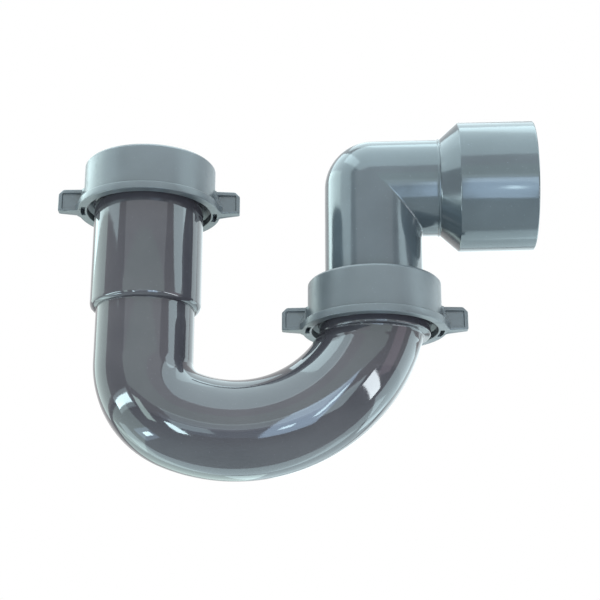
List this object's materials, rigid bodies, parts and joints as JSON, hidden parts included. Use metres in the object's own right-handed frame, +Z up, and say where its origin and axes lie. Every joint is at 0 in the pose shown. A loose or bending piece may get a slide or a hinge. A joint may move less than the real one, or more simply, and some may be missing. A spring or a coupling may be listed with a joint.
{
  "type": "p trap",
  "caption": "Plastic drain trap: a U-shaped bend and a swivelling outlet elbow with a wide pipe socket, joined by winged slip nuts.",
  "frame": {"origin": "centre of the inlet socket's upper edge, where the bore for the tailpiece meets the tapered washer seat", "axes": "+Z up along the inlet, out of the socket; +X across to the outlet leg; -Y towards the viewer"},
  "size_m": [0.2135, 0.0651, 0.1606],
  "materials": {
    "bend_plastic": "glossy moulded plastic, brown-black",
    "elbow_plastic": "semi-gloss moulded plastic, blue-black",
    "nut_plastic": "satin moulded plastic, dark grey",
    "ring_plastic": "thin smooth plastic sheet, grey",
    "washer_rubber": "soft moulded washer, off-white"
  },
  "bodies": {
    "j_bend": {"j_bend": "bend_plastic"},
    "inlet_seal": {"inlet_ring": "ring_plastic", "inlet_washer": "washer_rubber"},
    "inlet_nut": {"inlet_nut": "nut_plastic"},
    "union_ring": {"union_ring": "ring_plastic"},
    "union_nut": {"union_nut": "nut_plastic"},
    "union_washer": {"union_washer": "washer_rubber"},
    "trap_elbow": {"trap_elbow": "elbow_plastic"}
  },
  "joints": [
    {"name": "inlet_nut_travel", "type": "slide", "parent": "j_bend", "child": "inlet_seal", "axis": [0, 0, 1], "range_m": [0, 0.01105]},
    {"name": "inlet_nut_spin", "type": "hinge", "parent": "inlet_seal", "child": "inlet_nut", "pos_m": [0, 0, 0], "axis": [0, 0, 1], "range_deg": [0, 1800]},
    {"name": "union_nut_travel", "type": "slide", "parent": "j_bend", "child": "union_ring", "axis": [0, 0, 1], "range_m": [0, 0.01105]},
    {"name": "union_nut_spin", "type": "hinge", "parent": "union_ring", "child": "union_nut", "pos_m": [0.1, 0, -0.055], "axis": [0, 0, 1], "range_deg": [0, 1800]},
    {"name": "elbow_swivel", "type": "hinge", "parent": "j_bend", "child": "union_washer", "pos_m": [0.1, 0, -0.05], "axis": [0, 0, 1], "range_deg": [-130, 130]},
    {"name": "elbow_lift", "type": "slide", "parent": "union_washer", "child": "trap_elbow", "axis": [0, 0, 1], "range_m": [0, 0.013]}
  ],
  "couplings": [
    {"joint": "inlet_nut_travel", "follows": "inlet_nut_spin", "m_per_rad": 0.00035152},
    {"joint": "union_nut_travel", "follows": "union_nut_spin", "m_per_rad": 0.00035152}
  ]
}
